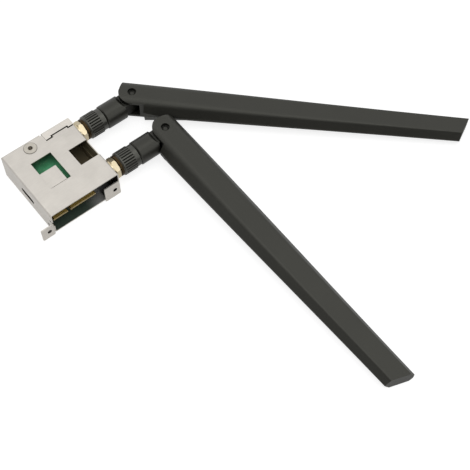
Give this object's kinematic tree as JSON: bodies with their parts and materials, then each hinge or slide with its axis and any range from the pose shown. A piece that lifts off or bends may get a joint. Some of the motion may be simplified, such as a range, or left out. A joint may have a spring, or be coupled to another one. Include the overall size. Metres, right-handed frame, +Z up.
{
  "type": "wireless network card module with antennas",
  "caption": "Folded sheet-metal cage holding an edge-connector radio card, with threaded coax jacks on one side and folding black paddle antennas screwed onto them.",
  "frame": {"origin": "middle of the cage's underside, as the module lies on its broad side", "axes": "+Z up off the table, +X out along the coax jacks towards the antennas, -Y towards the open side with the card's contacts"},
  "size_m": [0.169, 0.171, 0.0126],
  "materials": {
    "sheet_steel": "satin plated sheet with fine grain",
    "plated_steel": "satin",
    "circuit_board": "green solder resist, satin",
    "gold_plate": "bright gold plating",
    "brass": "plain turned brass",
    "white_insulator": "matte",
    "cable_jacket": "smooth jacket",
    "black_plastic": "fine-grained moulded plastic"
  },
  "bodies": {
    "cage": {"upper_cage": "sheet_steel", "lower_cage": "sheet_steel", "card_board": "circuit_board", "edge_contacts": "gold_plate", "card_spacer": "plated_steel", "card_screw": "plated_steel", "shield_can": "plated_steel", "snap_receptacles": "gold_plate", "snap_plugs": "gold_plate", "rear_pigtail": "cable_jacket", "front_pigtail": "cable_jacket", "rear_jack": "gold_plate", "front_jack": "gold_plate", "jack_insulators": "white_insulator", "jack_contacts": "gold_plate", "crimp_ferrules": "gold_plate", "jack_washers": "gold_plate", "jack_nuts": "gold_plate"},
    "rear_screw_collar": {"rear_collar": "black_plastic", "rear_coupling_nut": "brass"},
    "rear_base": {"rear_swivel_base": "black_plastic", "rear_antenna_plug": "brass", "rear_plug_insulator": "white_insulator", "rear_plug_contact": "gold_plate"},
    "rear_paddle": {"rear_blade": "black_plastic", "rear_hinge_pin": "black_plastic", "rear_radiator": "circuit_board"},
    "front_screw_collar": {"front_collar": "black_plastic", "front_coupling_nut": "brass"},
    "front_base": {"front_swivel_base": "black_plastic", "front_antenna_plug": "brass", "front_plug_insulator": "white_insulator", "front_plug_contact": "gold_plate"},
    "front_paddle": {"front_blade": "black_plastic", "front_hinge_pin": "black_plastic", "front_radiator": "circuit_board"}
  },
  "joints": [
    {"name": "rear_collar_spin", "type": "hinge", "parent": "cage", "child": "rear_screw_collar", "pos_m": [0.0239, 0.0126, 0.0062], "axis": [1, 0, 0], "continuous": true},
    {"name": "rear_swivel", "type": "hinge", "parent": "cage", "child": "rear_base", "pos_m": [0.0441, 0.0126, 0.0062], "axis": [1, 0, 0], "continuous": true},
    {"name": "rear_fold", "type": "hinge", "parent": "rear_base", "child": "rear_paddle", "pos_m": [0.0441, 0.0126, 0.0062], "axis": [0, 0.0285, -0.9996], "range_deg": [-44.35, 0]},
    {"name": "front_collar_spin", "type": "hinge", "parent": "cage", "child": "front_screw_collar", "pos_m": [0.0239, -0.0105, 0.0062], "axis": [1, 0, 0], "continuous": true},
    {"name": "front_swivel", "type": "hinge", "parent": "cage", "child": "front_base", "pos_m": [0.0441, -0.0105, 0.0062], "axis": [1, 0, 0], "range_deg": [-90, 90]},
    {"name": "front_fold", "type": "hinge", "parent": "front_base", "child": "front_paddle", "pos_m": [0.0441, -0.0105, 0.0062], "axis": [0, 0.02, -0.9998], "range_deg": [-45, 0]}
  ]
}
